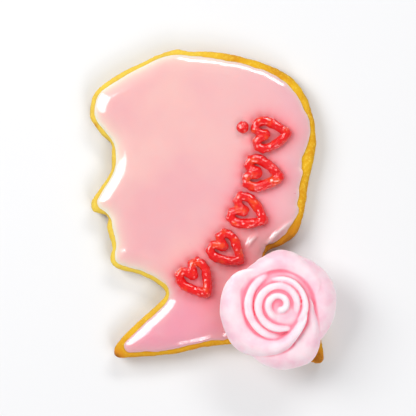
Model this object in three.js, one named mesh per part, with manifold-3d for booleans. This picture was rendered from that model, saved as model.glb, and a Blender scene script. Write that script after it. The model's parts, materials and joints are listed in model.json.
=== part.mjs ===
// An iced sugar cookie, cut as a head in profile: a flat biscuit, the icing poured on it,
// five piped hearts and a dot on the icing, and a moulded sugar rose at the shoulder.
//
// Millimetres, +Z up. The cookie lies on its flat back. X runs from the face to the back of
// the head, Y from the collar to the crown, and the origin is under the middle of its box.

import * as THREE from "three";
import { mergeVertices } from "three/addons/utils/BufferGeometryUtils.js";
import Module from "manifold-3d";

const wasm = await Module();
wasm.setup();

// ---------- driving dimensions ----------

const BISCUIT = {
  thickness: 6,
  edgeRadius: 1.1,
  ripple: 0.16, // how far the baked edge wanders from the cutter's line
};

const ICING = {
  thickness: 1.9,
  edgeRadius: 1.7,
  margin: 1.75, // bare biscuit left round the icing
  marginDrift: 0.55, // wider behind the head, narrower before the face
  marginRipple: 0.3,
};

// The head stands between a crown and a chin height. Its face keeps the drawing-book rule of
// equal thirds: hairline to brow, brow to the base of the nose, base of the nose to chin.
const CROWN = 50;
const CHIN = -19.5;
const FACE_THIRD = 0.25 * (CROWN - CHIN);
const FACE_FRONT = -31.6; // X of the upright line that the brow and the chin touch

const BEAD = { width: 2.8, height: 2.1 }; // a piped line of red icing
const HEART = { width: 11.6, height: 13 };

// Where each heart's middle lies, and the way its lobes point, in degrees from +Y.
const HEARTS = [
  { x: -4.6, y: -22.4, turn: 38, size: 1.0 },
  { x: 5.0, y: -13.2, turn: 50, size: 0.96 },
  { x: 11.6, y: -1.6, turn: 64, size: 1.0 },
  { x: 16.0, y: 10.6, turn: 80, size: 1.02 },
  { x: 18.6, y: 23.0, turn: 94, size: 0.98 },
];
const DOT = { x: 9.6, y: 25.2, width: 3.0, height: 1.7 };

const ROSE = { x: 20.7, y: -29.6 };

const ICING_TOP = BISCUIT.thickness + ICING.thickness;

// ---------- helpers for lines ----------

/** The biscuit's closed outline through its landmarks, evenly stepped. */
function smoothLoop(landmarks, steps) {
  const points = landmarks.map(([x, y]) => new THREE.Vector3(x, y, 0));
  const curve = new THREE.CatmullRomCurve3(points, true, "centripetal");
  curve.arcLengthDivisions = 4 * steps;
  return curve.getSpacedPoints(steps).slice(0, steps);
}

/** The unit vector that points into a clockwise loop at its i-th point. */
function inwardAt(loop, i) {
  const before = loop[(i + loop.length - 2) % loop.length];
  const after = loop[(i + 2) % loop.length];
  const along = after.clone().sub(before).normalize();
  return new THREE.Vector3(along.y, -along.x, 0);
}

/** Three slow waves of mixed length round a loop, between -1 and 1. */
function ripple(share, waves) {
  const turn = 2 * Math.PI * share;
  const mixed = waves.map((count, k) => Math.sin(count * turn + 2.4 * k));
  return mixed.reduce((sum, wave) => sum + wave, 0) / waves.length;
}

/** A loop moved inwards by a depth that may change along it, without crossing itself. */
function inset(loop, depthAt) {
  const moved = loop.map((point, i) => {
    const depth = depthAt(i / loop.length, point);
    return { depth, at: point.clone().addScaledVector(inwardAt(loop, i), depth) };
  });
  const clear = moved.filter(({ depth, at }) =>
    loop.every((point) => point.distanceTo(at) > 0.93 * depth),
  );
  return clear.map(({ at }) => at);
}

/** Rounds a loop's corners by moving each point towards the middle of its neighbours. */
function relax(loop, passes) {
  let current = loop;
  for (let pass = 0; pass < passes; pass++) {
    const last = current;
    current = last.map((point, i) => {
      const before = last[(i + last.length - 1) % last.length];
      const after = last[(i + 1) % last.length];
      return before.clone().add(after).lerp(point.clone().multiplyScalar(2), 0.5).multiplyScalar(0.5);
    });
  }
  return current;
}

/**
 * A loop moved inwards by a depth and left with no outer corner tighter than a radius: it goes
 * in past that radius too, and comes back out.
 */
function roundCorners(loop, depthAt, radius) {
  const core = inset(loop, (share, point) => depthAt(share, point) + radius);
  return relax(inset(relax(core, 4), () => -radius), 4);
}

/** Drops the points of a loop that its straight and gently bent stretches can spare. */
function thinOut(loop, largestTurn, largestStep) {
  const kept = [loop[0]];
  let heading = null;
  for (let i = 1; i < loop.length; i++) {
    const here = loop[i];
    const next = loop[(i + 1) % loop.length];
    const last = kept[kept.length - 1];
    const leaving = Math.atan2(next.y - here.y, next.x - here.x);
    heading ??= Math.atan2(here.y - last.y, here.x - last.x);
    const turned = Math.abs(Math.atan2(Math.sin(leaving - heading), Math.cos(leaving - heading)));
    if (turned > largestTurn || here.distanceTo(last) > largestStep) {
      kept.push(here);
      heading = leaving;
    }
  }
  return kept;
}

// ---------- helpers for solids ----------

/** A geometry's bare shape: positions only, with shared vertices merged. */
function bare(geometry) {
  const plain = geometry.clone();
  plain.deleteAttribute("normal");
  plain.deleteAttribute("uv");
  return mergeVertices(plain, 1e-4);
}

/** Moves every vertex of a geometry to where place() puts it. */
function reshape(geometry, place) {
  const shaped = bare(geometry);
  const position = shaped.getAttribute("position");
  for (let i = 0; i < position.count; i++) {
    const vertex = new THREE.Vector3().fromBufferAttribute(position, i);
    const moved = place(vertex);
    position.setXYZ(i, moved.x, moved.y, moved.z);
  }
  return bare(shaped);
}

function solidOf(geometry) {
  const plain = bare(geometry);
  return new wasm.Manifold(
    new wasm.Mesh({
      numProp: 3,
      vertProperties: plain.getAttribute("position").array,
      triVerts: new Uint32Array(plain.index.array),
    }),
  );
}

function geometryOf(solid) {
  const { vertProperties, triVerts } = solid.getMesh();
  const geometry = new THREE.BufferGeometry();
  geometry.setAttribute("position", new THREE.BufferAttribute(vertProperties, 3));
  geometry.setIndex(new THREE.BufferAttribute(triVerts, 1));
  return geometry;
}

function joined(geometries) {
  const solids = geometries.map(solidOf);
  return geometryOf(solids.reduce((whole, solid) => whole.add(solid)));
}

/** What is left of a geometry above a height. */
function cutBelow(geometry, height) {
  const reach = 400;
  const block = new THREE.BoxGeometry(reach, reach, reach);
  block.translate(0, 0, height - reach / 2);
  return geometryOf(solidOf(geometry).subtract(solidOf(block)));
}

/** A slab of a loop's shape with both edges rounded, standing on z = 0. */
function roundedSlab(loop, thickness, radius, roundSteps) {
  const shape = new THREE.Shape(loop.map(({ x, y }) => new THREE.Vector2(x, y)));
  const slab = new THREE.ExtrudeGeometry(shape, {
    depth: thickness - 2 * radius,
    bevelThickness: radius,
    bevelSize: radius,
    bevelOffset: -radius,
    bevelSegments: roundSteps,
    curveSegments: 1,
  });
  return slab.translate(0, 0, radius);
}

// ---------- the outline ----------

/** The profile from under the chin up to the forehead, each landmark a share of a third. */
function face() {
  const noseBase = CHIN + FACE_THIRD;
  const brow = noseBase + FACE_THIRD;
  const at = (back, height, from) => [FACE_FRONT + back * FACE_THIRD, from + height * FACE_THIRD];
  return [
    at(0.5, -0.06, CHIN), // under the chin
    at(0.17, 0, CHIN),
    at(-0.01, 0.13, CHIN),
    at(-0.02, 0.27, CHIN), // front of the chin
    at(0.06, -0.56, noseBase), // hollow above the chin
    at(-0.05, -0.44, noseBase), // lower lip
    at(0.0, -0.333, noseBase), // parting of the lips
    at(-0.09, -0.22, noseBase), // upper lip
    at(-0.02, -0.08, noseBase),
    at(-0.06, 0, noseBase), // base of the nose
    at(-0.3, 0.04, noseBase),
    at(-0.385, 0.17, noseBase), // tip of the nose
    at(-0.28, 0.36, noseBase),
    at(-0.07, -0.34, brow), // bridge
    at(0.03, -0.14, brow), // root of the nose
    at(0.0, 0.06, brow), // brow
    at(0.03, 0.26, brow), // forehead, up to the fringe
  ];
}

/** Clockwise, from the fringe over the crown and down the back to the collar and the throat. */
const HAIR_AND_COLLAR = [
  [-34.6, 23.0], // under the fringe
  [-37.5, 26.8],
  [-38.4, 30.8], // front of the fringe
  [-36.6, 36.3],
  [-30.8, 41.2],
  [-22.5, 45.4],
  [-15.0, 49.0],
  [-10.4, CROWN], // crown
  [-5.6, 48.9], // parting
  [-1.5, 49.4],
  [8.4, 47.7],
  [17.2, 45.3],
  [24.2, 41.8],
  [29.4, 35.6],
  [32.2, 28.4],
  [33.0, 22.0], // back of the head
  [32.0, 14.5],
  [30.2, 7.0],
  [29.6, 1.5],
  [28.2, -4.8],
  [26.6, -8.6], // ends of the hair
  [21.6, -11.9],
  [17.4, -13.2],
  [16.4, -15.6], // nape
  [20.4, -21.4],
  [26.6, -27.8],
  [31.8, -34.4],
  [34.4, -40.6],
  [35.2, -46.4],
  [35.0, -48.8], // back corner of the collar
  [32.6, -49.0],
  [25.0, -46.4],
  [13.0, -43.0],
  [2.0, -43.0],
  [-12.0, -45.8],
  [-24.0, -46.9],
  [-29.4, -46.9],
  [-31.0, -45.8], // front corner of the collar
  [-30.2, -43.2],
  [-22.4, -35.2],
  [-15.6, -29.2],
  [-13.9, -26.6], // throat
  [-16.6, -24.0],
];

/** The biscuit's edge: the cutter's line with the small waves that baking gives it. */
function biscuitEdge() {
  const loop = smoothLoop([...HAIR_AND_COLLAR, ...face()], 560);
  const rippled = loop.map((point, i) => {
    const wave = BISCUIT.ripple * ripple(i / loop.length, [19, 31, 47]);
    return point.clone().addScaledVector(inwardAt(loop, i), wave);
  });
  return roundCorners(rippled, () => 0, BISCUIT.edgeRadius);
}

/** The icing's edge, which stops short of the biscuit's by a margin that drifts and wavers. */
function icingEdge(edge) {
  const depthAt = (share, point) => {
    const backward = THREE.MathUtils.clamp(point.x / 30, -1, 1);
    const drift = ICING.marginDrift * backward;
    return ICING.margin + drift + ICING.marginRipple * ripple(share, [7, 13, 22]);
  };
  return roundCorners(edge, depthAt, ICING.edgeRadius);
}

// ---------- the pieces ----------

function biscuit(edge) {
  const { thickness, edgeRadius } = BISCUIT;
  return roundedSlab(thinOut(edge, 0.16, 3.4), thickness, edgeRadius, 2);
}

/** Icing stands on the biscuit with a rounded edge above and a flat side below. */
function icing(edge) {
  const { thickness, edgeRadius } = ICING;
  const slab = roundedSlab(thinOut(icingEdge(edge), 0.15, 3.6), 2 * thickness, edgeRadius, 3);
  slab.translate(0, 0, BISCUIT.thickness - thickness);
  return cutBelow(slab, BISCUIT.thickness);
}

/** One piped line: a round-ended bead laid along a path, flattened where it meets the icing. */
function stroke(path, around, steps) {
  const radius = BEAD.width / 2;
  const length = path.getLength();
  const capsule = new THREE.CapsuleGeometry(radius, length, 2, around, steps);
  return reshape(capsule, ({ x, y, z }) => {
    const share = THREE.MathUtils.clamp(y / length + 0.5, 0, 1);
    const beyond = y - (share - 0.5) * length;
    const tangent = path.getTangentAt(share);
    const side = new THREE.Vector3(tangent.y, -tangent.x, 0);
    const place = path.getPointAt(share);
    place.addScaledVector(side, x).addScaledVector(tangent, beyond);
    place.z = Math.max(0, BEAD.height - radius + z);
    return place;
  });
}

/** A heart piped as two lines, each from the dip between the lobes round to the tip. */
function heart() {
  const half = (HEART.width - BEAD.width) / 2;
  const top = (HEART.height - BEAD.width) / 2;
  const halves = [-1, 1].map((side) => {
    const path = new THREE.CatmullRomCurve3(
      [
        new THREE.Vector3(0.04 * half * side, 0.34 * top, 0),
        new THREE.Vector3(0.3 * half * side, 0.9 * top, 0),
        new THREE.Vector3(0.78 * half * side, 0.94 * top, 0),
        new THREE.Vector3(1.0 * half * side, 0.42 * top, 0),
        new THREE.Vector3(0.62 * half * side, -0.36 * top, 0),
        new THREE.Vector3(0.03 * half * side, -1.0 * top, 0),
      ],
      false,
      "centripetal",
    );
    return stroke(path, 8, 9);
  });
  return joined(halves);
}

function dot() {
  const { width, height } = DOT;
  return reshape(new THREE.SphereGeometry(1, 14, 10), ({ x, y, z }) => {
    const flattened = Math.max(0, 0.35 + 0.65 * z);
    return new THREE.Vector3((x * width) / 2, (y * width) / 2, flattened * height);
  });
}

// ---------- the rose ----------

// Each petal is a blade wound counter-clockwise round the rose's axis. Angles are in degrees
// from +X.
//   span    where the petal begins and ends
//   lip     radius of its lip where it begins and where it ends
//   rise    height of its highest point
//   thick   its greatest thickness
//   ends    how squarely it ends: low numbers taper it away
//   steps   rings of faces along it
// A closed petal stands up. Its lip moves outwards or inwards by the power `ease` of its span.
const CLOSED_PETALS = [
  { span: [-165, 308], lip: [1.0, 4.3], ease: 1, rise: 12.4, thick: 2.3, ends: 7, steps: 24 },
  { span: [-62, 322], lip: [5.3, 8.0], ease: 2, rise: 12.0, thick: 2.6, ends: 8, steps: 22 },
  { span: [-74, 134], lip: [8.0, 7.2], ease: 3, rise: 11.5, thick: 2.4, ends: 6, steps: 14 },
  { span: [88, 306], lip: [9.5, 9.7], ease: 3, rise: 11.2, thick: 2.7, ends: 5, steps: 16 },
];

// An open petal arches over and its lip hangs by `droop` below its highest point. The lip
// goes from one radius to the other between the angles `turn`.
const OPEN_PETALS = [
  { span: [118, 366], turn: [224, 325], lip: [18.5, 10.4], rise: 9.8, droop: 3.2, ends: 3, steps: 18 },
  { span: [227, 384], turn: [288, 358], lip: [20.8, 11.0], rise: 8.5, droop: 3.6, ends: 4, steps: 15 },
  { span: [-70, 78], turn: [30, 78], lip: [17.8, 17.2], rise: 8.4, droop: 3.4, ends: 5, steps: 14 },
  { span: [12, 192], turn: [84, 124], lip: [16.9, 14.6], rise: 9.2, droop: 3.6, ends: 3, steps: 15 },
];
const OPEN_THICK = 2.0;

/** The middle line of a closed petal's section at an angle, from its root to its lip. */
function closedSection({ span, lip, ease, rise }, degrees) {
  const wound = THREE.MathUtils.inverseLerp(...span, degrees) ** ease;
  const radius = THREE.MathUtils.lerp(...lip, wound);
  return new THREE.QuadraticBezierCurve(
    new THREE.Vector2(0.92 * radius, 3),
    new THREE.Vector2(radius + 0.2, 0.6 * rise),
    new THREE.Vector2(radius, rise),
  );
}

/** The same of an open petal, which springs from the core and arches outwards. */
function openSection({ turn, lip, rise, droop }, degrees) {
  const turned = THREE.MathUtils.smoothstep(degrees, ...turn);
  const radius = THREE.MathUtils.lerp(...lip, turned);
  const open = THREE.MathUtils.smoothstep(radius, 9, 18);
  const root = new THREE.Vector2(Math.min(7.5, 0.6 * radius), 5);
  const tip = new THREE.Vector2(radius, rise - THREE.MathUtils.lerp(0.8, droop, open));
  const arch = 2 * rise - 0.5 * (root.y + tip.y);
  const belly = new THREE.Vector2(THREE.MathUtils.lerp(root.x, tip.x, 0.55), arch);
  return new THREE.QuadraticBezierCurve(root, belly, tip);
}

/** A petal: a sphere drawn out along its span, with each ring of it laid round the section. */
function petalBlade({ span, ends, steps }, thick, around, sectionAt) {
  const sphere = new THREE.SphereGeometry(1, around, steps);
  return reshape(sphere, ({ x, y, z }) => {
    const share = Math.acos(THREE.MathUtils.clamp(y, -1, 1)) / Math.PI;
    const degrees = THREE.MathUtils.lerp(...span, share);
    const section = sectionAt(degrees);
    const pole = Math.hypot(x, z) < 1e-6;
    const fullness = pole ? 0 : Math.sqrt(1 - Math.abs(2 * share - 1) ** ends);
    const turn = Math.atan2(z, x);
    const up = pole ? 0 : (0.5 - 0.5 * Math.cos(turn)) * fullness;
    const sine = Math.sin(turn);
    const swell = -0.5 * thick * fullness * Math.sign(sine) * Math.abs(sine) ** 0.5;
    const middle = section.getPoint(up);
    const slope = section.getTangent(up);
    const radius = middle.x + slope.y * swell;
    const angle = THREE.MathUtils.degToRad(degrees);
    return new THREE.Vector3(
      radius * Math.cos(angle),
      radius * Math.sin(angle),
      middle.y - slope.x * swell,
    );
  });
}

function closedPetal(petal) {
  return petalBlade(petal, petal.thick, 10, (degrees) => closedSection(petal, degrees));
}

function openPetal(petal) {
  return petalBlade(petal, OPEN_THICK, 14, (degrees) => openSection(petal, degrees));
}

/** The solid middle of the rose, with the flat foot that it stands on. */
function roseCore() {
  const profile = [
    [0, 0],
    [10.4, 0],
    [13.0, 1.3],
    [14.4, 3.4],
    [14.0, 5.4],
    [12.2, 6.8],
    [9.6, 8.0],
    [6.8, 8.8],
    [3.6, 9.6],
    [0, 10.4],
  ].map(([radius, height]) => new THREE.Vector2(radius, height));
  return new THREE.LatheGeometry(profile, 30).rotateX(Math.PI / 2);
}

function rose() {
  return joined([roseCore(), ...CLOSED_PETALS.map(closedPetal), ...OPEN_PETALS.map(openPetal)]);
}

// ---------- the object ----------

const finishes = {
  biscuit: new THREE.MeshStandardMaterial({ color: 0xe0a83a, roughness: 0.85, metalness: 0 }),
  icing: new THREE.MeshStandardMaterial({ color: 0xf4b4b8, roughness: 0.18, metalness: 0 }),
  piping: new THREE.MeshStandardMaterial({ color: 0xe01a18, roughness: 0.12, metalness: 0 }),
  sugar: new THREE.MeshStandardMaterial({ color: 0xf8d3df, roughness: 0.5, metalness: 0 }),
};

const cookie = new THREE.Group();

function add(name, geometry, finish) {
  const mesh = new THREE.Mesh(geometry, finish);
  mesh.name = name;
  cookie.add(mesh);
  return mesh;
}

const edge = biscuitEdge();
add("biscuit", biscuit(edge), finishes.biscuit);
add("icing", icing(edge), finishes.icing);

const heartShape = heart();
HEARTS.forEach(({ x, y, turn, size }, i) => {
  const mesh = add(`piped_heart_${i + 1}`, heartShape, finishes.piping);
  mesh.position.set(x, y, ICING_TOP);
  mesh.rotation.z = THREE.MathUtils.degToRad(turn);
  mesh.scale.setScalar(size);
});
add("piped_dot", dot(), finishes.piping).position.set(DOT.x, DOT.y, ICING_TOP);
add("sugar_rose", rose(), finishes.sugar).position.set(ROSE.x, ROSE.y, ICING_TOP);

// The origin goes under the middle of the whole box.
const middle = new THREE.Box3().setFromObject(cookie).getCenter(new THREE.Vector3());
cookie.position.set(-middle.x, -middle.y, 0);

export default cookie;
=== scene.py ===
# An iced sugar cookie in the shape of a head in profile: a golden biscuit, pink icing poured
# to just short of its edge, red gel hearts piped down the back of the head, and a sugar rose.

import json
import math
import random

import bpy
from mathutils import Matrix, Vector
from mathutils.bvhtree import BVHTree
from mathutils.kdtree import KDTree

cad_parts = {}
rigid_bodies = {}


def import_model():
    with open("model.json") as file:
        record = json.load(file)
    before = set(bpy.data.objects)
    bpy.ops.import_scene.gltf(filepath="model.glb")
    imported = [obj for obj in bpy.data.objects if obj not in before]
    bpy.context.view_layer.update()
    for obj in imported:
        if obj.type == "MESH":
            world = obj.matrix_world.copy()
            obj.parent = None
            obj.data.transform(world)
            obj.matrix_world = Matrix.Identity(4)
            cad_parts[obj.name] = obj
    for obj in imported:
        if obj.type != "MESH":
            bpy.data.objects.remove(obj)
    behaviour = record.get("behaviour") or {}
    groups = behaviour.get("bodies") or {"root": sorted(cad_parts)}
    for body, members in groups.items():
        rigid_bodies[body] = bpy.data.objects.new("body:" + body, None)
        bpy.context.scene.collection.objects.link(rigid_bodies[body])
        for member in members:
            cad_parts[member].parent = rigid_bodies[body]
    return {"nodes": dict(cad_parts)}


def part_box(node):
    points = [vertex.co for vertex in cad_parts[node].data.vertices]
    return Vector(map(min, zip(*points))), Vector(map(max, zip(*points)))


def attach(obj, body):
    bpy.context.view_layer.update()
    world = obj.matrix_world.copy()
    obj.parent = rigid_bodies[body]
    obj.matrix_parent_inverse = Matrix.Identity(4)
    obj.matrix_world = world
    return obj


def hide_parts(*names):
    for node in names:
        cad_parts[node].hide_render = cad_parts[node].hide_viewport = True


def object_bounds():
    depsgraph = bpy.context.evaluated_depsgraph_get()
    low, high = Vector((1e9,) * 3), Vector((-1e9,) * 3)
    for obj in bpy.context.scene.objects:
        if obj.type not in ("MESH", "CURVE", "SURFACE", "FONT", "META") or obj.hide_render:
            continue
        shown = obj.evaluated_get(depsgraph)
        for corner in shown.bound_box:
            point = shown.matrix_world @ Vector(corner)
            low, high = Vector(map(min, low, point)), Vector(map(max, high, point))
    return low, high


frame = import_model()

cad_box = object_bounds()

MM = 0.001
MERGE_WITHIN = 1e-7  # two points this near, in metres, are the same point
HEARTS = [name for name in frame["nodes"] if name.startswith("piped_heart")]

# Spots that the oven caught on the biscuit, in millimetres: how far each lies from its left
# and top sides, how far it reaches, and how dark it is.
TOASTED = [
    (1.2, 24.5, 2.6, 0.6),
    (55.0, 65.0, 8.0, 0.6),
    (61.5, 62.0, 8.0, 0.55),
    (65.5, 57.5, 8.0, 0.45),
    (7.6, 97.4, 5.0, 1.1),
    (71.5, 97.0, 4.6, 0.9),
    (34.0, 94.5, 5.0, 0.4),
]

# The petals of the rose, wound counter-clockwise: where each begins and ends, in degrees from
# the right, then in millimetres the radius of its lip there and there, how high it rises and
# how thick it is, and how squarely it ends. Low numbers taper it away.
# A closed petal stands up, and its lip moves by the power "ease" of its span.
CLOSED_PETALS = [
    {"span": (-170, 312), "lip": (0.9, 4.2), "ease": 1, "rise": 12.3, "thick": 2.2, "ends": 6},
    {"span": (-60, 322), "lip": (5.3, 8.0), "ease": 2, "rise": 11.9, "thick": 2.3, "ends": 8},
    {"span": (-74, 130), "lip": (8.0, 7.4), "ease": 3, "rise": 11.3, "thick": 2.1, "ends": 5},
    {"span": (86, 304), "lip": (9.4, 9.9), "ease": 3, "rise": 11.0, "thick": 2.6, "ends": 4},
]
# An open petal arches over, its lip hangs by "droop", and its lip moves between the angles
# "turn". It leans up or down along its span by "lean" at each end.
OPEN_PETALS = [
    {"span": (116, 366), "turn": (224, 325), "lip": (18.6, 10.3), "rise": 9.8, "droop": 3.2,
     "ends": 3, "lean": 0.0},
    {"span": (227, 384), "turn": (296, 354), "lip": (20.3, 11.0), "rise": 8.2, "droop": 3.4,
     "ends": 4, "lean": 0.0},
    {"span": (-60, 82), "turn": (30, 82), "lip": (17.5, 16.8), "rise": 7.7, "droop": 3.2,
     "ends": 5, "lean": 0.6},
    {"span": (10, 192), "turn": (84, 124), "lip": (16.3, 14.6), "rise": 8.8, "droop": 3.4,
     "ends": 3, "lean": 0.3},
]
# The outermost petals cup the rose from below, each overlapping the next.
UNDER_PETALS = [
    {"span": (start, start + 112), "lip": (13.6, 15.4), "rise": 6.2, "ends": 3}
    for start in range(20, 380, 72)
]
OPEN_THICKNESS = (2.6, 1.6)  # at the root and at the lip
UNDER_THICKNESS = (2.4, 1.4)

# An open petal's edge waves in and out, and up and down: by how many millimetres, how fast for
# each degree round the rose, and from what angle. It is calm inside the first of WAVY_RADII and
# waves in full past the second. Its lip droops more and more between the DROOP_RADII.
EDGE_WAVES = {"out": (0.22, 5.3, 0), "up": (0.25, 4.1, 60)}
WAVY_RADII = (12, 17)
DROOP_RADII = (11, 18.5)

# The solid middle of the rose, in millimetres: the radius and height of its widest ring, how
# far it stands above and below that ring and how squarely it rounds off there (low numbers are
# square), and the depth and width of the dimple in its top.
CORE = {
    "radius": 12.8,
    "waist": 3.4,
    "above": (8.1, 0.9),
    "below": (3.7, 0.35),
    "dimple": (0.2, 2.4),
}

ROSE_AXIS = (0.501, 0.548)  # how far across its box, and up it, the middle of the rose lies

# Places where a thumb has smoothed the rose: name, degrees from the right, radius and height.
DIPS = [("right_dip", 48, 15, 7), ("left_dip", 136, 14, 7)]

# The crests of the wrinkles in the icing, in millimetres from its right and top sides.
WRINKLES = [
    [(6.4, 52.0), (9.4, 53.9), (12.2, 56.2), (14.6, 59.2), (15.8, 62.4)],
    [(18.6, 57.0), (20.2, 58.4), (21.2, 60.4)],
]
WRINKLE_WIDTH = 0.65 * MM
WRINKLE_HEIGHT = 0.95 * MM


# ---------------------------------------------------------------- finishes

class Value:
    """A number or colour that changes over a surface, with arithmetic on it."""

    def __init__(self, finish, socket):
        self.finish = finish
        self.socket = socket

    def math(self, operation, *values):
        return self.finish.node("ShaderNodeMath", {"operation": operation}, dict(enumerate(values)))

    def __add__(self, other):
        return self.math("ADD", self, other)

    def __radd__(self, other):
        return self.math("ADD", other, self)

    def __sub__(self, other):
        return self.math("SUBTRACT", self, other)

    def __rsub__(self, other):
        return self.math("SUBTRACT", other, self)

    def __mul__(self, other):
        return self.math("MULTIPLY", self, other)

    def __rmul__(self, other):
        return self.math("MULTIPLY", other, self)

    def __pow__(self, other):
        return self.math("POWER", self, other)

    def between(self, low, high):
        """0 at low, 1 at high, and smooth between."""
        settings = {"interpolation_type": "SMOOTHSTEP"}
        return self.finish.node(
            "ShaderNodeMapRange", settings, {"Value": self, "From Min": low, "From Max": high}
        )


class Finish:
    """A material being mixed: its nodes are added one by one by node()."""

    def __init__(self, name, **constants):
        self.material = bpy.data.materials.new(name)
        self.material.use_nodes = True
        self.tree = self.material.node_tree
        self.shader = self.tree.nodes["Principled BSDF"]
        for socket, number in constants.items():
            self.shader.inputs[socket.replace("_", " ")].default_value = number

    def node(self, kind, settings, inputs, output=0):
        made = self.tree.nodes.new(kind)
        for key, setting in settings.items():
            setattr(made, key, setting)
        for socket, value in inputs.items():
            self.plug(value, made.inputs[socket])
        return Value(self, made.outputs[output])

    def plug(self, value, socket):
        if isinstance(value, Value):
            self.tree.links.new(value.socket, socket)
        elif isinstance(value, tuple) and len(value) == 3 and socket.type == "RGBA":
            socket.default_value = (*value, 1)
        else:
            socket.default_value = value

    def set(self, **inputs):
        for socket, value in inputs.items():
            self.plug(value, self.shader.inputs[socket.replace("_", " ")])

    def place(self):
        return self.node("ShaderNodeTexCoord", {}, {}, "Object")

    def along(self, axis):
        return self.node("ShaderNodeSeparateXYZ", {}, {0: self.place()}, axis)

    def over(self, box, axis, start, end):
        """0 at one share of a box's side, 1 at another, and smooth between."""
        low, high = (corner["XYZ".index(axis)] for corner in box)
        return self.along(axis).between(low + start * (high - low), low + end * (high - low))

    def painted(self, name):
        """A value that a piece carries on its points."""
        return self.node("ShaderNodeAttribute", {"attribute_name": name}, {}, "Fac")

    def noise(self, size, detail, roughness=0.5):
        """Cloudy noise from 0 to 1 with lumps of about this size in metres."""
        inputs = {
            "Vector": self.place(),
            "Scale": 1 / size,
            "Detail": detail,
            "Roughness": roughness,
        }
        return self.node("ShaderNodeTexNoise", {}, inputs)

    def distance_to(self, point):
        settings = {"operation": "DISTANCE"}
        return self.node("ShaderNodeVectorMath", settings, {0: self.place(), 1: point}, "Value")

    def mix(self, factor, first, second):
        """The first colour at factor 0 and the second at 1, by the node's colour sockets."""
        settings = {"data_type": "RGBA"}
        return self.node("ShaderNodeMix", settings, {0: factor, 6: first, 7: second}, 2)

    def bump(self, height, distance, strength):
        inputs = {"Height": height, "Distance": distance, "Strength": strength}
        return self.node("ShaderNodeBump", {}, inputs)


def baked_dough():
    """Golden dough, paler down the face, amber under the collar and brown where it toasted."""
    finish = Finish(
        "baked_dough",
        Specular_IOR_Level=0.25,
        Subsurface_Weight=0.1,
        Subsurface_Scale=2 * MM,
        Subsurface_Radius=(1.0, 0.55, 0.2),
    )
    amber = (0.74, 0.41, 0.008)
    honey = (0.62, 0.27, 0.004)
    crumb_yellow = (0.82, 0.58, 0.06)
    pale_yellow = (0.80, 0.65, 0.11)
    deep_amber = (0.60, 0.24, 0.010)
    golden_brown = (0.62, 0.235, 0.010)
    dark_brown = (0.27, 0.08, 0.012)
    base_brown = (0.42, 0.17, 0.02)

    grain = finish.noise(0.9 * MM, detail=5, roughness=0.65)
    patches = finish.noise(9 * MM, detail=3)
    golden = finish.mix(patches.between(0.35, 0.7), amber, honey)
    dough = finish.mix(grain.between(0.45, 0.8), golden, crumb_yellow)

    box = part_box("biscuit")
    low, high = box
    across = finish.over(box, "X", 0, 1)
    above_collar = finish.over(box, "Y", 0.06, 0.3)
    pale = 0.55 * above_collar * (1 - across.between(0.1, 0.75))
    dough = finish.mix(pale, dough, pale_yellow)
    hem = 1 - finish.over(box, "Y", 0.03, 0.13)
    dough = finish.mix(0.5 * hem, dough, deep_amber)

    toasted = 0.0
    for x, y, reach, depth in TOASTED:
        spot = (low[0] + x * MM, high[1] - y * MM, high[2])
        near = 1 - finish.distance_to(spot).between(0.2 * reach * MM, reach * MM)
        toasted = depth * near + toasted
    scorch = toasted + 0.6 * (grain - 0.5)
    dough = finish.mix(scorch.between(0.1, 0.7), dough, golden_brown)
    dough = finish.mix(scorch.between(0.6, 1.2), dough, dark_brown)
    underside = 1 - finish.along("Z").between(0.0, 3.2 * MM)
    dough = finish.mix(0.55 * underside, dough, base_brown)

    crumb = finish.bump(grain, 0.25 * MM, 0.7)
    finish.set(Base_Color=dough, Roughness=0.62 + 0.25 * grain, Normal=crumb)
    return finish.material


def poured_icing():
    """Glossy pink, creamy where it lies thin along the face, with painted highlights along its edge
    and on the wrinkles, and red where the gel bled.
    """
    finish = Finish(
        "poured_icing",
        IOR=1.5,
        Coat_Weight=1.0,
        Coat_Roughness=0.10,
        Subsurface_Weight=0.35,
        Subsurface_Scale=2.5 * MM,
        Subsurface_Radius=(1.0, 0.35, 0.3),
    )
    face_pink = (0.81, 0.41, 0.43)
    back_pink = (0.81, 0.42, 0.47)
    collar_pink = (0.80, 0.27, 0.38)
    peach = (0.86, 0.52, 0.48)
    ivory_and_highlight = (0.95, 0.86, 0.66)
    thin_edge_cream_and_highlight = (0.96, 0.80, 0.70)
    speck_red = (0.66, 0.12, 0.16)
    highlight_white = (0.98, 0.93, 0.91)
    bled_red = (0.88, 0.13, 0.16)

    clouds = finish.noise(28 * MM, detail=3, roughness=0.45)
    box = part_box("icing")
    across = finish.over(box, "X", 0.15, 1)
    collar = 1 - finish.over(box, "Y", 0.05, 0.4)
    pink = finish.mix(across, face_pink, back_pink)
    pink = finish.mix(0.75 * collar, pink, collar_pink)
    cream = (0.9 - 0.65 * across) * clouds.between(0.36, 0.66)
    pink = finish.mix(cream, pink, peach)

    # Near its edge the icing is creamy where it lies thin over the biscuit, and lighter still by a
    # painted highlight, most on the face side.
    edge_cream_and_highlight = finish.painted("edge_cream_and_highlight")
    clear = 1 - 0.8 * collar
    pink = finish.mix(0.95 * clear * (1 - across) * edge_cream_and_highlight, pink, ivory_and_highlight)
    pink = finish.mix(0.75 * clear * edge_cream_and_highlight ** 4, pink, thin_edge_cream_and_highlight)
    specks = finish.noise(1.3 * MM, detail=1)
    pink = finish.mix(0.5 * specks.between(0.79, 0.84), pink, speck_red)
    # A painted highlight: white along the crests of the wrinkles.
    pink = finish.mix(0.95 * finish.painted("wrinkle_highlight"), pink, highlight_white)
    pink = finish.mix(finish.painted("bleed"), pink, bled_red)

    ripples = finish.noise(7 * MM, detail=2)
    skin = finish.bump(ripples, 0.35 * MM, 0.12)
    finish.set(Base_Color=pink, Roughness=0.10 + 0.08 * clouds, Normal=skin)
    return finish.material


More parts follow.
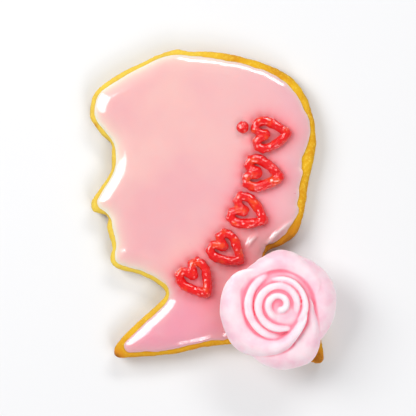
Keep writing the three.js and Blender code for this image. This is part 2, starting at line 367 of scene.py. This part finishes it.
def red_gel():
    """Wet, lumpy red that lightens to scarlet in streaks."""
    finish = Finish("red_gel", IOR=1.55, Coat_Weight=1.0, Coat_Roughness=0.02)
    deep_red = (0.80, 0.003, 0.004)
    scarlet = (0.88, 0.07, 0.008)
    beads = finish.noise(0.7 * MM, detail=2)
    streaks = finish.noise(3.5 * MM, detail=2)
    red = finish.mix(streaks.between(0.5, 0.75), deep_red, scarlet)
    lumpy = finish.bump(beads, 0.45 * MM, 0.5)
    finish.set(Base_Color=red, Roughness=0.04 + 0.08 * beads, Normal=lumpy)
    return finish.material


def sugar_paste():
    """Pale pink, with a painted highlight that whitens the crests and painted shade that deepens
    the pink in the folds, hollows and creases.
    """
    finish = Finish(
        "sugar_paste",
        Subsurface_Weight=0.4,
        Subsurface_Scale=2 * MM,
        Subsurface_Radius=(1.0, 0.4, 0.45),
    )
    pale_pink = (0.90, 0.70, 0.75)
    blush_pink = (0.87, 0.53, 0.63)
    crest_highlight_white = (0.95, 0.86, 0.88)
    fold_shade_pink = (0.94, 0.40, 0.50)
    valley_shade_pink = (0.93, 0.34, 0.45)
    crease_shade_pink = (0.94, 0.22, 0.31)
    deepest_shade_pink = (0.93, 0.07, 0.12)

    fold_shade = finish.painted("fold_shade")
    crest = finish.painted("crest")
    crease_shade = finish.painted("crease_shade")
    valley_shade = finish.painted("valley_shade")
    blush = finish.noise(6 * MM, detail=3)
    petal = finish.mix(blush.between(0.35, 0.7), pale_pink, blush_pink)
    # A painted highlight: the crests, standing above a smoothed copy, are mixed towards white.
    petal = finish.mix(0.65 * crest.between(0.05, 0.9), petal, crest_highlight_white)
    # Painted shade: deeper pink where short sight lines are blocked, in broad hollows and in narrow
    # creases, reddest where crease and fold meet.
    petal = finish.mix(0.7 * fold_shade.between(0.05, 0.55), petal, fold_shade_pink)
    petal = finish.mix(0.75 * valley_shade.between(0.0, 0.8), petal, valley_shade_pink)
    petal = finish.mix(0.9 * crease_shade.between(0.0, 0.8), petal, crease_shade_pink)
    petal = finish.mix((crease_shade * fold_shade).between(0.15, 0.6), petal, deepest_shade_pink)

    dust = finish.noise(0.5 * MM, detail=4)
    matt = finish.bump(dust, 0.05 * MM, 0.35)
    finish.set(Base_Color=petal, Roughness=0.38 + 0.15 * blush, Normal=matt)
    return finish.material


# ---------------------------------------------------------------- modelling

def pick(piece):
    """Makes one piece the only selected and active one."""
    for other in bpy.context.view_layer.objects:
        other.select_set(False)
    piece.select_set(True)
    bpy.context.view_layer.objects.active = piece


def finish_modifier(piece, kind, **settings):
    """Adds a modifier with these settings and applies it."""
    pick(piece)
    bpy.ops.object.modifier_add(type=kind)
    modifier = piece.modifiers[-1]
    for key, setting in settings.items():
        setattr(modifier, key, setting)
    bpy.ops.object.modifier_apply(modifier=modifier.name)


def smooth(piece, rounds, group=""):
    """Evens a piece out, all over or by its points' weights in a group."""
    finish_modifier(piece, "SMOOTH", factor=0.5, iterations=rounds, vertex_group=group)


def raise_weighted(piece, height, group):
    """Moves each point up by its weight in a group times this height, or down if negative."""
    finish_modifier(
        piece, "DISPLACE", direction="Z", mid_level=0, strength=height, vertex_group=group
    )


def merge_doubles():
    """Merges all the doubled points of the piece in edit mode."""
    bpy.ops.mesh.select_all(action="SELECT")
    bpy.ops.mesh.remove_doubles(threshold=MERGE_WITHIN)


def remesh(piece, fineness):
    """One closed skin round a piece, with faces of about this size."""
    finish_modifier(piece, "REMESH", mode="VOXEL", voxel_size=fineness, use_smooth_shade=True)


def worked_copy(node, name, fineness):
    """A finely meshed copy of a CAD node to work the soft shape into."""
    source = frame["nodes"][node]
    piece = bpy.data.objects.new(name, source.data.copy())
    bpy.context.scene.collection.objects.link(piece)
    pick(piece)
    bpy.ops.object.mode_set(mode="EDIT")
    merge_doubles()
    bpy.ops.object.mode_set(mode="OBJECT")
    remesh(piece, fineness)
    return piece


def lumps(name, size, depth):
    """Cloudy lumps of about this size, for displacing a surface."""
    texture = bpy.data.textures.new(name, "CLOUDS")
    texture.noise_scale = size
    texture.noise_depth = depth
    return texture


def displace(piece, texture, strength, direction="NORMAL", group=""):
    """Pushes a surface out and in by half the strength each way."""
    finish_modifier(
        piece,
        "DISPLACE",
        texture=texture,
        texture_coords="LOCAL",
        direction=direction,
        strength=strength,
        mid_level=0.5,
        vertex_group=group,
    )


def paint(piece, name, values):
    """Stores one number per point of a piece, for its finish to read."""
    layer = piece.data.attributes.new(name, "FLOAT", "POINT")
    layer.data.foreach_set("value", values)


def complete(piece, node, finish):
    """Gives a piece its finish, hides the CAD node that it replaces, and hangs the piece on the
    root body.
    """
    piece.data.materials.clear()
    piece.data.materials.append(finish)
    pick(piece)
    bpy.ops.object.shade_smooth()
    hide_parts(node)
    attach(piece, "root")


def make_biscuit():
    piece = worked_copy("biscuit", "baked_biscuit", 0.5 * MM)
    smooth(piece, 3)
    for axis in "XY":
        displace(piece, lumps("dough_waves_" + axis, 5 * MM, 2), 0.7 * MM, axis)
    displace(piece, lumps("dough_crumb", 1.1 * MM, 3), 0.35 * MM)
    complete(piece, "biscuit", baked_dough())


def nearest(points):
    """A search tree over some points, seen from above."""
    tree = KDTree(len(points))
    for index, point in enumerate(points):
        tree.insert((point.x, point.y, 0), index)
    tree.balance()
    return tree


def points_of(nodes):
    """All the points of some CAD nodes."""
    return [v.co for node in nodes for v in frame["nodes"][node].data.vertices]


def distances(piece, tree):
    """How far each point of a piece is, seen from above, from the nearest in a tree."""
    return [tree.find((v.co.x, v.co.y, 0))[2] for v in piece.data.vertices]


def weigh(piece, name, weights):
    """A vertex group that holds back a modifier where its weights are small."""
    least = 0.002
    group = piece.vertex_groups.new(name=name)
    for index, weight in enumerate(weights):
        if weight > least:
            group.add([index], min(weight, 1.0), "REPLACE")


def place_on_line(point, line):
    """Which share of a line of points lies before the nearest place on it, and how far it is."""
    found = []
    for index, (start, end) in enumerate(zip(line, line[1:])):
        along = (point - start).dot(end - start) / (end - start).length_squared
        along = min(max(along, 0), 1)
        found.append(((point - start.lerp(end, along)).length, (index + along) / (len(line) - 1)))
    away, share = min(found)
    return share, away


def run_in_lobes(piece, box):
    """The icing's edge ran smooth along the face and over the crown, and in lobes behind."""
    low, high = box
    lobe_size = 6 * MM
    flow = 4.0 * MM
    least_share = 0.2
    weights = []
    for v in piece.data.vertices:
        across, up = ((v.co[i] - low[i]) / (high[i] - low[i]) for i in (0, 1))
        behind = smoothed(across, 0.3, 0.9) * smoothed(up, 0.85, 0.7)
        weights.append(blend((least_share, 1), behind))
    weigh(piece, "lobed_edge", weights)
    for axis in "XY":
        displace(piece, lumps("flow_" + axis, lobe_size, 1), flow, axis, "lobed_edge")
    smooth(piece, 6)


def draw_down(piece, lifted, inland):
    """Surface tension draws the icing down near its edge. Points lie this far inland of it."""
    reach = 5 * MM
    drop = 1.25 * MM
    weights = [up * max(0, 1 - d / reach) ** 1.5 for up, d in zip(lifted, inland)]
    weigh(piece, "slope", weights)
    raise_weighted(piece, -drop, "slope")


def set_wrinkles(piece, corner, lifted):
    """Wrinkles above the rose, where the skin had begun to dry. They taper at both ends, and their
    crests are painted white as a painted highlight.
    """
    ends_and_middle = (0.12, 0.88)  # the stretch of half a wave that a wrinkle's height follows
    weights = [0.0] * len(piece.data.vertices)
    for line in WRINKLES:
        crest = [Vector((corner[0] - x * MM, corner[1] - y * MM)) for x, y in line]
        for v, up in zip(piece.data.vertices, lifted):
            share, away = place_on_line(v.co.to_2d(), crest)
            swell = math.sin(math.pi * blend(ends_and_middle, share))
            weights[v.index] += max(up, 0) * swell * math.exp(-((away / WRINKLE_WIDTH) ** 2))
    weigh(piece, "wrinkle", weights)
    paint(piece, "wrinkle_highlight", [weight ** 2 for weight in weights])
    raise_weighted(piece, WRINKLE_HEIGHT, "wrinkle")
    smooth(piece, 1)


def bleed_red(piece):
    """The red of the gel has bled a little way into the icing, and is faint round the rose."""
    gel_reach = 1.9 * MM
    rose_reach = 7 * MM
    reddest = 0.9
    from_gel = distances(piece, nearest(points_of(HEARTS)))
    from_rose = distances(piece, nearest(points_of(["sugar_rose"])))
    bleed = []
    for gel, rose in zip(from_gel, from_rose):
        share = 0.88 * math.exp(-gel / gel_reach) + 0.26 * math.exp(-((rose / rose_reach) ** 2))
        bleed.append(min(share, reddest))
    paint(piece, "bleed", bleed)


def make_icing():
    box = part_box("icing")
    low, high = box
    steepness = 0.35  # the side's normals rise or fall by less than this
    rim_reach = 1.8 * MM
    piece = worked_copy("icing", "pink_icing", 0.4 * MM)
    run_in_lobes(piece, box)
    side = [v.co.copy() for v in piece.data.vertices if abs(v.normal.z) < steepness]
    inland = distances(piece, nearest(side))
    lifted = [(v.co.z - low[2]) / (high[2] - low[2]) for v in piece.data.vertices]
    draw_down(piece, lifted, inland)
    displace(piece, lumps("pool", 18 * MM, 1), 0.4 * MM, "Z")
    smooth(piece, 6)
    set_wrinkles(piece, high, lifted)
    bleed_red(piece)
    # Nearness to the edge, painted creamy by the finish: thin icing and, in part, a painted
    # highlight.
    paint(piece, "edge_cream_and_highlight", [math.exp(-d / rim_reach) for d in inland])
    complete(piece, "icing", poured_icing())


def make_piping():
    """Plump, beaded lines of gel. The dot has swelled more than the hearts."""
    gel = red_gel()
    for name in HEARTS + ["piped_dot"]:
        piece = worked_copy(name, name.replace("piped", "gel"), 0.2 * MM)
        smooth(piece, 12)
        swell = 0.25 * MM if name in HEARTS else 0.5 * MM
        finish_modifier(piece, "DISPLACE", mid_level=0, strength=swell)
        displace(piece, lumps("gel_lumps", 2.2 * MM, 1), 0.6 * MM)
        displace(piece, lumps("gel_beads", 0.9 * MM, 1), 0.22 * MM)
        smooth(piece, 3)
        complete(piece, name, gel)


def folds(piece, reach, rays):
    """How deep in a fold each point lies: the share of short sight lines that are blocked."""
    tree = BVHTree.FromObject(piece, bpy.context.evaluated_depsgraph_get())
    steady = random.Random(7)
    directions = []
    while len(directions) < rays:
        way = Vector([steady.uniform(-1, 1) for _ in range(3)])
        if 0.2 < way.length < 1:
            directions.append(way.normalized())
    clearance = 0.12 * MM  # sight lines start this far off the surface
    lowest = -0.3  # and none of them looks further down than this
    depths = []
    for vertex in piece.data.vertices:
        start = vertex.co + clearance * vertex.normal
        blocked = 0.0
        total = 0.0
        for way in directions:
            facing = way.dot(vertex.normal)
            if facing < 0:
                way, facing = -way, -facing
            if way.z < lowest:
                continue
            total += facing
            hit = tree.ray_cast(start, way, reach)[3]
            if hit is not None:
                blocked += facing * (1 - hit / reach)
        depths.append(blocked / total if total else 0.0)
    return depths


def reliefs(piece, rounds):
    """How far each point stands above a smoothed copy of its piece. Creases are below zero."""
    pick(piece)
    bpy.ops.object.duplicate()
    levelled = bpy.context.object
    smooth(levelled, rounds)
    pairs = zip(piece.data.vertices, levelled.data.vertices)
    heights = [(own.co - level.co).dot(level.normal) for own, level in pairs]
    bpy.data.objects.remove(levelled)
    return heights


def shares(heights, full):
    """Each height as a share of the full one, kept between 0 and 1."""
    return [min(max(height / full, 0), 1) for height in heights]


def smoothed(value, low, high):
    """0 at low, 1 at high, and smooth between."""
    share = min(max((value - low) / (high - low), 0), 1)
    return share * share * (3 - 2 * share)


def blend(pair, share):
    """The number at a share of the way from the first of a pair to the second."""
    return pair[0] + (pair[1] - pair[0]) * share


def polar(radius, degrees, height):
    """A point round the rose's axis, from millimetres to metres."""
    angle = math.radians(degrees)
    return Vector((radius * math.cos(angle), radius * math.sin(angle), height)) * MM


def span_share(petal, degrees):
    """The share of a petal's span that lies before an angle."""
    start, end = petal["span"]
    return (degrees - start) / (end - start)


def closed_section(petal, degrees):
    """Root, belly and lip of a closed petal's section at an angle, as radius and height."""
    radius = blend(petal["lip"], span_share(petal, degrees) ** petal["ease"])
    rise = petal["rise"]
    root = Vector((0.92 * radius, 3))
    belly = Vector((radius + 0.2, 0.6 * rise))
    lip = Vector((radius, rise))
    return root, belly, lip


def edge_wave(way, degrees, radius):
    """How far an open petal's edge waves at an angle, where its lip has this radius."""
    height, rate, phase = EDGE_WAVES[way]
    return height * math.sin(math.radians(rate * degrees + phase)) * smoothed(radius, *WAVY_RADII)


def open_section(petal, degrees):
    """The same of an open petal, which arches from its root to its wavy, drooping lip."""
    radius = blend(petal["lip"], smoothed(degrees, *petal["turn"]))
    radius += edge_wave("out", degrees, radius)
    rise = petal["rise"] + petal["lean"] * blend((-1, 1), span_share(petal, degrees))
    rise += edge_wave("up", degrees, radius)
    droop = blend((0.5, petal["droop"]), smoothed(radius, *DROOP_RADII))
    root = Vector((min(9.2, 0.6 * radius), 5))
    lip = Vector((radius, rise - droop))
    arch = 2 * rise - 0.5 * (root.y + lip.y)
    belly = Vector((blend((root.x, lip.x), 0.55), arch))
    return root, belly, lip


def under_section(petal, degrees):
    """The same of a petal that cups the rose from below."""
    radius = blend(petal["lip"], span_share(petal, degrees))
    root = Vector((9.4, 1.3))
    belly = Vector((0.95 * radius, 0.9))
    lip = Vector((radius, petal["rise"]))
    return root, belly, lip


def curve_point(section, share):
    """The place at a share of a section's curve, and the way that the curve runs there."""
    root, belly, lip = section
    behind, ahead = root.lerp(belly, share), belly.lerp(lip, share)
    return behind.lerp(ahead, share), (ahead - behind).normalized()


def unit_ball(segments, rings):
    """A ball of radius 1, to be shaped point by point."""
    bpy.ops.object.select_all(action="DESELECT")
    bpy.ops.mesh.primitive_uv_sphere_add(segments=segments, ring_count=rings, radius=1)
    return bpy.context.object


def petal_blade(petal, section_at, thickness):
    """A ball drawn out along the petal's span, each ring of it laid round the section."""
    edge = 0.16  # the share of half the section over which its root and its lip are rounded
    blade = unit_ball(segments=36, rings=110)
    for vertex in blade.data.vertices:
        share = math.acos(min(max(vertex.co.z, -1), 1)) / math.pi
        degrees = blend(petal["span"], share)
        fullness = math.sqrt(max(0, 1 - abs(2 * share - 1) ** petal["ends"]))
        turn = math.atan2(vertex.co.y, vertex.co.x)
        up = (0.5 - 0.5 * math.cos(turn)) * fullness
        middle, way = curve_point(section_at(petal, degrees), up)
        rounding = min(1, (1 - abs(2 * up / max(fullness, 0.01) - 1)) / edge)
        half = 0.5 * blend(thickness, up) * fullness * math.sqrt(max(0, 1 - (1 - rounding) ** 2))
        side = math.copysign(half, math.sin(turn))
        vertex.co = polar(middle.x + way.y * side, degrees, middle.y - way.x * side)
    return blade


def rose_core():
    """The solid middle that the petals spring from, on a flat foot."""
    depth, width = CORE["dimple"]
    core = unit_ball(segments=64, rings=40)
    for vertex in core.data.vertices:
        ring = math.hypot(vertex.co.x, vertex.co.y)
        above = vertex.co.z > 0
        stand, power = CORE["above" if above else "below"]
        radius = CORE["radius"] * ring ** power
        height = CORE["waist"] + vertex.co.z * stand
        if above:
            height -= depth * math.exp(-((radius / width) ** 2))
        way = Vector((vertex.co.x, vertex.co.y)) / max(ring, 1e-9)
        vertex.co = Vector((radius * way.x, radius * way.y, height)) * MM
    return core


def joined(parts, name, place):
    """One piece of several overlapping ones, moved to its place."""
    bpy.ops.object.select_all(action="DESELECT")
    for part in parts:
        part.select_set(True)
    piece = parts[0]
    bpy.context.view_layer.objects.active = piece
    bpy.ops.object.join()
    piece.name = name
    bpy.ops.object.mode_set(mode="EDIT")
    merge_doubles()
    bpy.ops.mesh.normals_make_consistent(inside=False)
    bpy.ops.transform.translate(value=place)
    bpy.ops.object.mode_set(mode="OBJECT")
    return piece


def soften(piece, name, middle, reach, rounds):
    """Smooths a piece around one place only."""
    away = [(v.co - middle).length for v in piece.data.vertices]
    weigh(piece, name, [math.exp(-((distance / reach) ** 2)) for distance in away])
    smooth(piece, rounds, name)


def make_rose():
    low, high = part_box("sugar_rose")
    axis = Vector((*(blend((a, b), s) for a, b, s in zip(low, high, ROSE_AXIS)), low[2]))
    parts = [rose_core()]
    parts += [petal_blade(p, closed_section, (p["thick"], p["thick"])) for p in CLOSED_PETALS]
    parts += [petal_blade(p, open_section, OPEN_THICKNESS) for p in OPEN_PETALS]
    parts += [petal_blade(p, under_section, UNDER_THICKNESS) for p in UNDER_PETALS]
    piece = joined(parts, "sugar_paste_rose", axis)
    remesh(piece, 0.235 * MM)
    smooth(piece, 6)
    for name, degrees, radius, height in DIPS:
        middle = axis + polar(radius, degrees, height)
        soften(piece, name, middle, reach=4.5 * MM, rounds=40)
    displace(piece, lumps("petal_waves", 7 * MM, 1), 0.6 * MM)
    smooth(piece, 3)

    # Painted shade for the finish: how blocked each point is, and how far it lies below smoothed
    # copies.
    paint(piece, "fold_shade", folds(piece, reach=4.5 * MM, rays=14))
    wide = reliefs(piece, rounds=420)
    paint(piece, "valley_shade", shares(wide, -0.45 * MM))
    narrow = reliefs(piece, rounds=90)
    # Painted highlight for the finish: how far each point stands above the smoothed copy.
    paint(piece, "crest", shares(narrow, 0.24 * MM))
    paint(piece, "crease_shade", shares(narrow, -0.24 * MM))
    complete(piece, "sugar_rose", sugar_paste())


make_biscuit()
make_icing()
make_piping()
make_rose()


# ---------------------------------------------------------------- studio

def make_floor():
    """A sheet of white card, four metres wide."""
    card_white = (0.78, 0.78, 0.785)
    bpy.ops.object.select_all(action="DESELECT")
    bpy.ops.mesh.primitive_plane_add(size=4)
    floor = bpy.context.object
    floor.name = "floor"
    card = Finish("white_card", Roughness=0.9)
    card.set(Base_Color=card_white)
    floor.data.materials.append(card.material)


def softbox(name, place, size, brightness):
    """A rectangular lamp turned towards the cookie. Brightness is in watts per square metre."""
    lamp = bpy.data.lights.new(name, "AREA")
    lamp.shape = "RECTANGLE"
    lamp.size, lamp.size_y = size
    lamp.energy = brightness * size[0] * size[1]
    holder = bpy.data.objects.new(name, lamp)
    bpy.context.scene.collection.objects.link(holder)
    holder.location = place
    holder.rotation_euler = (-Vector(place)).to_track_quat("-Z", "Y").to_euler()
    return holder


def make_studio():
    """The card floor, a dim cool room, and the lamps, with places and sizes in metres."""
    room_light = (0.95, 0.96, 1.0, 1)
    make_floor()
    softbox("window", (-0.468, 0.252, 0.514), (0.37, 0.46), 23)
    softbox("top_panel", (0.20, 0.60, 0.48), (0.46, 0.16), 30)
    fill = softbox("fill_card", (0.36, -0.38, 0.66), (0.60, 0.50), 8)
    fill.visible_glossy = False
    softbox("low_strip", (0.20, -0.54, 0.43), (0.20, 0.20), 22)
    world = bpy.data.worlds.new("studio")
    world.use_nodes = True
    background = world.node_tree.nodes["Background"]
    background.inputs["Color"].default_value = room_light
    background.inputs["Strength"].default_value = 0.25
    bpy.context.scene.world = world


def make_camera():
    """A long lens straight above. Its view is view_width wide at the height of the icing."""
    view_width = 130 * MM
    shift_x = -1.25 * MM
    shift_y = 0.16 * MM
    low, high = cad_box
    lens = bpy.data.cameras.new("camera")
    lens.lens = 150
    lens.sensor_width = 36
    camera = bpy.data.objects.new("camera", lens)
    bpy.context.scene.collection.objects.link(camera)
    icing_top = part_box("icing")[1][2]
    distance = view_width * lens.lens / lens.sensor_width
    middle_x, middle_y, _ = ((a + b) / 2 for a, b in zip(low, high))
    camera.location = (middle_x + shift_x, middle_y + shift_y, icing_top + distance)
    bpy.context.scene.camera = camera


make_studio()
make_camera()
bpy.context.scene.view_settings.view_transform = "Standard"
